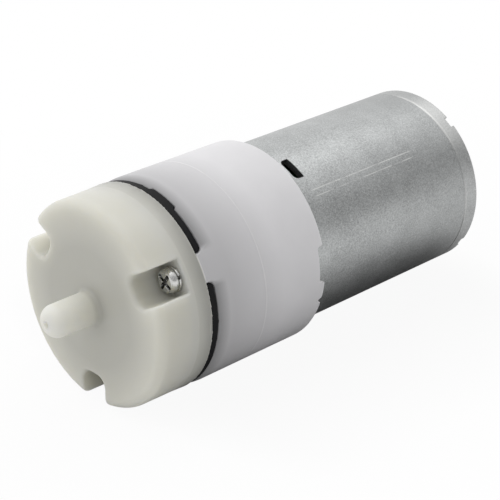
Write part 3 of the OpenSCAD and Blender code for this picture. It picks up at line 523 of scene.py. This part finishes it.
class Paint(Nodes):
    """A material that is built around one Principled shader."""

    def __init__(self, name, color, metallic=0.0, roughness=0.5, ior=1.5):
        self.name = name
        self.color = color
        self.material = bpy.data.materials.new(name)
        self.material.use_nodes = True
        super().__init__(self.material.node_tree)
        self.shader = self.tree.nodes["Principled BSDF"]
        self.set("Base Color", (*color, 1))
        self.set("Metallic", metallic)
        self.set("Roughness", roughness)
        self.set("IOR", ior)
        self.place = self.node("ShaderNodeTexCoord").outputs["Object"]
        self.normal = None

    def set(self, socket, value):
        self.shader.inputs[socket].default_value = value

    def link(self, output, socket):
        self.tree.links.new(output, self.shader.inputs[socket])

    def stretched(self, along, around):
        """Coordinates that make a texture longer along the pump's axis or around it."""
        scale = (along, around, around)
        return self.node("ShaderNodeMapping", {"Vector": self.place, "Scale": scale}).outputs[0]

    def noise(self, size, detail=3.0, place=None, roughness=0.5):
        """Noise with features of a size in millimetres."""
        return self.node("ShaderNodeTexNoise", {
            "Vector": place or self.place, "Scale": 1 / (size * MM), "Detail": detail,
            "Roughness": roughness}).outputs["Fac"]

    def wave(self, period, distortion, **settings):
        """Waves with a period in millimetres."""
        scale = math.tau / (period * MM) / WAVE_RADIANS
        return self.node("ShaderNodeTexWave", {
            "Vector": self.place, "Scale": scale, "Distortion": distortion}, **settings).outputs["Fac"]

    def cylinder(self):
        """Place along the axis in millimetres, and turn about it from the top in degrees."""
        parts = self.parts(self.place)
        turn = self.calc("ARCTAN2", self.times(parts["Y"], -1.0), parts["Z"])
        return self.times(parts["X"], 1 / MM), self.times(turn, 180 / math.pi)

    def off_axis(self):
        """Distance from the pump's axis in millimetres."""
        parts = self.parts(self.place)
        return self.times(self.hypot(parts["Y"], parts["Z"]), 1 / MM)

    def toned(self, share):
        """The paint's colour, darker or lighter."""
        return tuple(min(c * share, 1) for c in self.color)

    def mix(self, factor, below, above):
        """Lays one colour over another. A colour is a node's output or three shares of light."""
        a, b = (c if isinstance(c, bpy.types.NodeSocket) else (*c, 1) for c in (below, above))
        return self.node("ShaderNodeMix", {0: factor, 6: a, 7: b}, data_type="RGBA").outputs[2]

    def shades(self, value, low, high, darker, lighter):
        """Varies the colour with a value, between a darker and a lighter share of it."""
        factor = self.fit(value, low, high, 0, 1)
        color = self.mix(factor, self.toned(darker), self.toned(lighter))
        self.link(color, "Base Color")
        return color

    def soft_edges(self, radius):
        """Rounds the light on sharp edges."""
        self.normal = self.node("ShaderNodeBevel", {"Radius": radius * MM}, samples=4).outputs[0]
        self.link(self.normal, "Normal")

    def bump(self, height, depth):
        """Adds relief of a depth in millimetres."""
        inputs = {"Height": height, "Strength": 1.0, "Distance": depth * MM}
        if self.normal:
            inputs["Normal"] = self.normal
        self.normal = self.node("ShaderNodeBump", inputs).outputs[0]
        self.link(self.normal, "Normal")

    def grain(self, size, smooth, rough, depth):
        """Gives fine grain: gloss between two roughnesses, and relief."""
        fine = self.noise(size, detail=4)
        self.link(self.fit(fine, 0.3, 0.7, smooth, rough), "Roughness")
        self.bump(fine, depth)

    def scatter(self, weight, radius, scale):
        """Lets light in, by a weight that may vary and a scale in millimetres."""
        if isinstance(weight, bpy.types.NodeSocket):
            self.link(weight, "Subsurface Weight")
        else:
            self.set("Subsurface Weight", weight)
        self.set("Subsurface Radius", radius)
        self.set("Subsurface Scale", scale * MM)


def srgb(*levels):
    """A colour as written for a screen, as linear light."""
    shares = (level / 255 for level in levels)
    return tuple(c / 12.92 if c <= 0.04045 else ((c + 0.055) / 1.055) ** 2.4 for c in shares)


def grained(name, color, metallic=0.0, roughness=0.5, grain=0.4, shade=0.08, depth=0.004):
    """A plain material with soft edges, mottled colour, uneven gloss and fine relief."""
    paint = Paint(name, srgb(*color), metallic, roughness)
    paint.soft_edges(0.06)
    paint.shades(paint.noise(grain * 6), 0.35, 0.65, 1 - shade, 1 + shade)
    paint.grain(grain, roughness - 0.06, roughness + 0.06, depth)
    return paint


def cap_plastic():
    """Cream nylon of the cap and the plate, which lets a little light in, with painted light and painted
    shade on it.
    """
    paint = Paint("cap_plastic", srgb(210, 209, 200), roughness=0.36)
    along, _ = paint.cylinder()
    color = paint.shades(paint.noise(7, detail=2), 0.3, 0.7, 0.97, 1.02)

    # Painted light makes the nozzle paler towards its tip, and painted shade darkens the middle of the
    # face round it
    nozzle = paint.fit(along, Z_CAP - NOZZLE_LIT_LEN, Z_CAP + 0.2, 1, 0)
    color = paint.mix(nozzle, color, srgb(226, 225, 217))
    at_face = paint.fit(along, Z_CAP - 1, Z_CAP, 0, 1)
    at_face = paint.times(at_face, paint.fit(along, Z_CAP + 0.4, Z_CAP + 2.5, 1, 0))
    middle = paint.times(at_face, paint.fit(paint.off_axis(), FACE_SHADE_FULL_R, FACE_SHADE_END_R, 1, 0))
    color = paint.mix(middle, color, paint.toned(0.79))

    # Painted shade darkens the plate towards its rear, and a painted highlight makes its rear edge pale
    start = paint.fit(along, Z_PLATE - 0.08, Z_PLATE + 0.1, 0, 0.28)
    more = paint.fit(along, Z_PLATE + 0.1, Z_FLANGE - 0.1, 0, 0.55)
    color = paint.mix(paint.calc("ADD", start, more), color, paint.toned(0.5))
    edge = paint.between(along, Z_FLANGE - 0.14, Z_FLANGE + 0.05, 0.05)
    color = paint.mix(paint.times(edge, 0.6), color, srgb(242, 241, 234))
    paint.link(color, "Base Color")

    # Less light goes in at the seam and at the plate's rear end
    near_seam = paint.between(along, Z_PLATE - SEAM_REACH, Z_PLATE + SEAM_REACH, SEAM_REACH)
    near_end = paint.fit(along, Z_FLANGE - 0.6, Z_FLANGE - 0.2, 0, 1)
    near_joint = paint.calc("MAXIMUM", near_seam, near_end)
    paint.scatter(paint.fit(near_joint, 0, 1, 0.8, 0.2), (1.0, 0.95, 0.8), 4.0)
    paint.grain(0.25, 0.32, 0.42, 0.004)
    paint.bump(paint.noise(2.5, detail=2), 0.03)
    return paint


def housing_plastic():
    """Cool white plastic of the housings, duller than the cap, with painted shade and painted highlight
    lines.
    """
    paint = Paint("housing_plastic", srgb(220, 219, 221), roughness=0.5)
    along, turn = paint.cylinder()
    color = paint.shades(paint.noise(5, detail=3), 0.3, 0.7, 0.975, 1.015)

    # Painted shade: darker in front, and dark behind the rubber, away from the screw bosses
    front = paint.fit(along, Z_JOINT - FRONT_SHADE_BEFORE, Z_JOINT + FRONT_SHADE_PAST, 1, 0)
    color = paint.mix(front, color, paint.toned(0.73))
    past_boss = paint.calc("SUBTRACT", turn, SCREW_TURNS[0])
    off_boss = paint.calc("PINGPONG", past_boss, 180 / len(SCREW_TURNS))
    behind = paint.fit(along, Z_DECK + SHADE_NEAR, Z_DECK + SHADE_FAR, 1, 0)
    behind = paint.times(behind, paint.fit(off_boss, BOSS_CLEAR, BOSS_PAST, 0, 1))
    color = paint.mix(paint.times(behind, 0.9), color, paint.toned(0.4))

    # Painted highlight lines where the halves meet and where the bosses meet the plate
    joint_highlight = paint.between(along, Z_JOINT - JOINT_HIGHLIGHT_HALF_W, Z_JOINT + JOINT_HIGHLIGHT_HALF_W, 0.05)
    boss_highlight = paint.between(along, Z_FLANGE - 0.1, Z_FLANGE + 0.06, 0.05)
    highlight_lines = paint.times(paint.calc("MAXIMUM", joint_highlight, boss_highlight), 0.55)
    color = paint.mix(highlight_lines, color, srgb(238, 237, 238))
    paint.link(color, "Base Color")
    paint.scatter(0.2, (1.0, 1.0, 1.0), 1.2)
    paint.grain(0.3, 0.44, 0.56, 0.005)
    return paint


def zinc_steel():
    """Zinc-plated steel of the can, dull and speckled, with painted shade and painted highlights."""
    paint = Paint("zinc_steel", srgb(182, 184, 184), metallic=1.0, roughness=0.42)
    paint.soft_edges(0.15)
    along, turn = paint.cylinder()
    bright = srgb(232, 232, 230)

    # Speckles, clouds and bright flecks, with painted shade that darkens them towards the rear and most
    # of all on top
    speckle = paint.noise(0.2, detail=4, roughness=0.8)
    clouds = paint.noise(3.5, detail=3)
    both = paint.calc("ADD", paint.times(speckle, 0.84), paint.times(clouds, 0.16))
    color = paint.shades(both, 0.4, 0.6, 0.66, 1.2)
    rear = paint.fit(along, CAN_SHADE_START, CAN_SHADE_END, 0, 0.26)
    top = paint.fit(along, TOP_SHADE_START, CAN_SHADE_END, 0, 0.3)
    top = paint.times(paint.between(turn, *TOP_SHADE_TURNS, 12), top)
    color = paint.mix(paint.calc("ADD", rear, top), color, paint.toned(0.6))
    flecks = paint.fit(paint.noise(0.16, detail=2), 0.64, 0.72, 0, 0.5)
    color = paint.mix(flecks, color, bright)

    # The rear rim is a little brighter all round, with a painted highlight on its upper side, and a
    # painted highlight line runs along its band, most of all on top
    rim_wear_and_sheen = paint.calc("MULTIPLY_ADD", paint.between(turn, *RIM_SHEEN_TURNS, 6), 0.24, 0.1)
    rim = paint.times(paint.fit(along, Z_BAND - 0.1, Z_BAND + 0.1, 0, 1), rim_wear_and_sheen)
    color = paint.mix(rim, color, bright)
    band_sheen = paint.calc("MULTIPLY_ADD", paint.between(turn, *BAND_SHEEN_TURNS, 5), 0.4, 0.1)
    band_sheen = paint.calc("ADD", band_sheen, paint.fit(turn, *BAND_LOW_SHEEN_TURNS, 0, 0.2))
    band = paint.between(along, Z_BAND - BAND_HALF_W, Z_BAND + BAND_HALF_W, 0.08)
    band = paint.times(band, band_sheen)
    color = paint.mix(band, color, bright)

    # Two light scratches, broken here and there
    broken = paint.noise(0.5, detail=3, place=paint.stretched(0.25, 1))
    broken = paint.fit(broken, 0.4, 0.55, 0.12, 0.8)
    for at, start, end in SCRATCHES:
        line = paint.between(turn, at - SCRATCH_HALF_W, at + SCRATCH_HALF_W, 0.14)
        line = paint.times(line, paint.between(along, start, end, 0.3))
        color = paint.mix(paint.times(line, broken), color, srgb(218, 219, 217))
    paint.link(color, "Base Color")
    paint.link(paint.fit(speckle, 0.35, 0.7, 0.34, 0.5), "Roughness")
    paint.bump(speckle, 0.012)
    paint.bump(paint.noise(1.1, detail=2), 0.01)
    return paint


def black_rubber():
    """Matt black rubber with a little dust in its grain."""
    paint = Paint("black_rubber", srgb(14, 14, 16), roughness=0.55, ior=1.25)
    fine = paint.noise(0.3, detail=4)
    paint.shades(fine, 0.35, 0.75, 0.8, 1.5)
    paint.bump(fine, 0.01)
    return paint


def plated_screw():
    """Bright plated steel with fine wear, and painted shade in its recess and corners."""
    paint = Paint("plated_screw", srgb(214, 214, 212), metallic=1.0, roughness=0.22)
    color = paint.shades(paint.noise(0.7), 0.3, 0.7, 0.82, 1.08)
    # Painted shade, dark where the recess and corners close in
    corners = paint.node("ShaderNodeAmbientOcclusion", {"Distance": 0.6 * MM}, samples=8, only_local=True)
    recess_shade = paint.fit(corners.outputs["AO"], 0.4, 0.85, 1, 0)
    paint.link(paint.mix(recess_shade, color, srgb(34, 33, 31)), "Base Color")
    paint.grain(0.12, 0.16, 0.32, 0.004)
    return paint


def lamination():
    """Stacked steel sheets, half a millimetre each."""
    paint = grained("lamination", (118, 120, 124), 0.9, 0.42)
    paint.bump(paint.wave(0.5, 0.4, bands_direction="X"), 0.05)
    return paint


def copper_wire():
    """Lacquered copper wire, laid in turns."""
    paint = grained("copper_wire", (178, 92, 46), 0.8, 0.32)
    paint.bump(paint.wave(0.3, 0.8, wave_type="RINGS", rings_direction="X"), 0.1)
    return paint


MATERIALS = {paint.name: paint.material for paint in (
    cap_plastic(),
    housing_plastic(),
    black_rubber(),
    zinc_steel(),
    plated_screw(),
    lamination(),
    copper_wire(),
    grained("valve_rubber", (184, 92, 66), 0, 0.55),
    grained("acetal", (236, 235, 228), 0, 0.4),
    grained("ground_steel", (196, 197, 200), 1, 0.2, grain=0.2, shade=0.05),
    grained("bronze", (176, 138, 84), 0.9, 0.45, grain=0.15, shade=0.2, depth=0.02),
    grained("ferrite", (62, 62, 66), 0.1, 0.6, grain=0.3, shade=0.15, depth=0.01),
    grained("green_insulator", (52, 116, 78), 0, 0.5),
    grained("brown_phenolic", (92, 48, 32), 0, 0.45),
    grained("copper", (206, 122, 64), 1, 0.3, grain=0.15),
    grained("carbon", (50, 50, 53), 0.2, 0.55, grain=0.12, shade=0.2),
    grained("spring_brass", (200, 158, 88), 1, 0.28),
    grained("tinned_brass", (206, 204, 196), 1, 0.26, shade=0.1))}

SLOTS = {row["node"]: row["material_slot"] for row in frame["record"]["subparts"]}
for node, obj in frame["nodes"].items():
    dress(obj, MATERIALS[SLOTS[node]])

# Pieces whose soft edges show. Inside the radius that comes last, their mesh stays as the CAD has it.
for name, node, field, voxel, inside_r in (
        ("cap_body", "head_cap", cap_field, CAP_VOXEL, 0.0),
        ("plate_body", "valve_plate", plate_field, VOXEL, 12.6),
        ("diaphragm_body", "diaphragm", diaphragm_field, VOXEL, 12.3),
        ("front_housing_body", "front_housing", front_housing_field, VOXEL, 12.5),
        ("rear_housing_body", "rear_housing", rear_housing_field, VOXEL, 12.1)):
    stand_in(soft_copy(name, frame["nodes"][node].data, voxel, field, inside_r=inside_r), node)

for i, turn in enumerate(SCREW_TURNS, 1):
    for name, node, field in (
            ("cover_screw", "cover_screws", screw_field(turn)),
            ("spring_washer", "spring_washers", washer_field(turn))):
        solid = one_solid(node, turn)
        stand_in(soft_copy(f"{name}_{i}", solid, SMALL_VOXEL, field, reach=SMALL_REACH), node)

# Floor, light and camera, in metres
CAMERA_AT = Vector((-0.13472, -0.140598, 0.093454))
CAMERA_AIM = Vector((-0.000167, 0.000065, -0.001409))
CAMERA_LENS = 119.95
CAMERA_CLIP = 0.01
FLOOR_SIZE = 1.6
FLOOR_GAP = 0.02 * MM
FLOOR_PAINTED_SHADOW, FLOOR_PALE = 0.18, 0.83
PAINTED_SHADOW_AT, PAINTED_SHADOW_HALF, END_GROWTH = 0.0075, 0.0215, 3.0
UNDER, BESIDE = 0.011, 0.034
NEAR, FAR_OFF = 0.02, 0.08
SHADOW_SEEN = 0.06
SKY_WAY = Vector((0.12, 0.72, 0.68)).normalized()
SKY_DIM, SKY_BRIGHT = 0.45, 1.1
SKY_DIM_AT, SKY_BRIGHT_AT = -0.15, 0.55
HORIZON_LOW, HORIZON_HIGH = 0.03, 0.2
LIGHT_AT = Vector((0.0, 0.03, 0.32))
LIGHT_SIZE_X, LIGHT_SIZE_Y = 0.6, 0.12
LIGHT_RADIANCE = 0.9


def add_object(name, data, at, aim=None):
    """Adds an object to the scene, turned to a point if one is given."""
    obj = bpy.data.objects.new(name, data)
    bpy.context.scene.collection.objects.link(obj)
    obj.location = at
    if aim is not None:
        obj.rotation_mode = "QUATERNION"
        obj.rotation_quaternion = (aim - at).to_track_quat("-Z", "Y")
    return obj


def empty_nodes(owner):
    """The emptied node tree of a material or a world."""
    owner.use_nodes = True
    owner.node_tree.nodes.clear()
    return Nodes(owner.node_tree)


def floor_paint():
    """A pale floor with the object's shadow on it, darkened more under the can by a painted shadow, and
    plain white further off.
    """
    material = bpy.data.materials.new("floor")
    t = empty_nodes(material)
    parts = t.parts(t.node("ShaderNodeTexCoord").outputs["Object"])

    def distance_from(middle, half, growth):
        """Distance from a stretch of the pump's axis, on the floor. Beyond its ends it grows faster."""
        along = t.calc("ABSOLUTE", t.calc("SUBTRACT", parts["X"], middle))
        beyond = t.calc("MAXIMUM", t.calc("SUBTRACT", along, half), 0.0)
        return t.hypot(t.times(beyond, growth), parts["Y"])

    far = t.fit(distance_from(0.0, CAD_HIGH.x, 1.0), NEAR, FAR_OFF, 0, 1, "SMOOTHSTEP")
    camera_ray, bounced_ray = t.rays()
    seen = t.times(camera_ray, t.calc("MULTIPLY_ADD", far, SHADOW_SEEN, 1 - SHADOW_SEEN))
    share = t.calc("MAXIMUM", seen, t.times(bounced_ray, far))
    # Painted shadow: the floor's own colour is darkest under the can and pale beside it
    distance = distance_from(PAINTED_SHADOW_AT, PAINTED_SHADOW_HALF, END_GROWTH)
    painted_shadow_diffuse = t.node("ShaderNodeBsdfDiffuse", {
        "Color": t.fit(distance, UNDER, BESIDE, FLOOR_PAINTED_SHADOW, FLOOR_PALE)})
    white = t.node("ShaderNodeEmission", {"Strength": 1.0})
    mix = t.node("ShaderNodeMixShader", {0: share, 1: painted_shadow_diffuse.outputs[0], 2: white.outputs[0]})
    t.node("ShaderNodeOutputMaterial", {"Surface": mix.outputs[0]})
    return material


def make_floor():
    """A square floor under the object."""
    bm = bmesh.new()
    bmesh.ops.create_grid(bm, x_segments=1, y_segments=1, size=FLOOR_SIZE / 2)
    mesh = bpy.data.meshes.new("floor")
    bm.to_mesh(mesh)
    bm.free()
    floor = add_object("floor", mesh, Vector((0, 0, CAD_LOW.z - FLOOR_GAP)))
    dress(floor, floor_paint())


def make_world():
    """Pale light all round, brighter above and behind the object, and white where it is seen."""
    world = bpy.data.worlds.new("studio")
    bpy.context.scene.world = world
    t = empty_nodes(world)
    way = t.node("ShaderNodeTexCoord").outputs["Generated"]
    dot = t.node("ShaderNodeVectorMath", {0: way, 1: SKY_WAY}, operation="DOT_PRODUCT").outputs["Value"]
    level = t.fit(dot, SKY_DIM_AT, SKY_BRIGHT_AT, SKY_DIM, SKY_BRIGHT, "SMOOTHSTEP")
    low = t.fit(t.parts(way)["Z"], HORIZON_LOW, HORIZON_HIGH, 1, 0, "SMOOTHSTEP")
    camera_ray, bounced_ray = t.rays()
    seen = t.calc("MAXIMUM", camera_ray, t.times(bounced_ray, low))
    strength = t.node("ShaderNodeMix", {0: seen, 2: level, 3: 1.0}, data_type="FLOAT").outputs[0]
    sky = t.node("ShaderNodeBackground", {"Color": (1, 1, 1, 1), "Strength": strength})
    t.node("ShaderNodeOutputWorld", {"Surface": sky.outputs[0]})


def make_light():
    """A long soft box overhead, which looks as bright as a white card of its radiance."""
    light = bpy.data.lights.new("overhead", "AREA")
    light.shape = "RECTANGLE"
    light.size = LIGHT_SIZE_X
    light.size_y = LIGHT_SIZE_Y
    light.energy = LIGHT_RADIANCE * math.pi * LIGHT_SIZE_X * LIGHT_SIZE_Y
    add_object("overhead", light, LIGHT_AT, Vector((0, 0, 0)))


def make_camera():
    """A camera at the photograph's viewing angle."""
    camera = add_object("camera", bpy.data.cameras.new("camera"), CAMERA_AT, CAMERA_AIM)
    camera.data.lens = CAMERA_LENS
    camera.data.clip_start = CAMERA_CLIP
    bpy.context.scene.camera = camera


make_world()
make_floor()
make_light()
make_camera()
bpy.context.scene.view_settings.view_transform = "Standard"
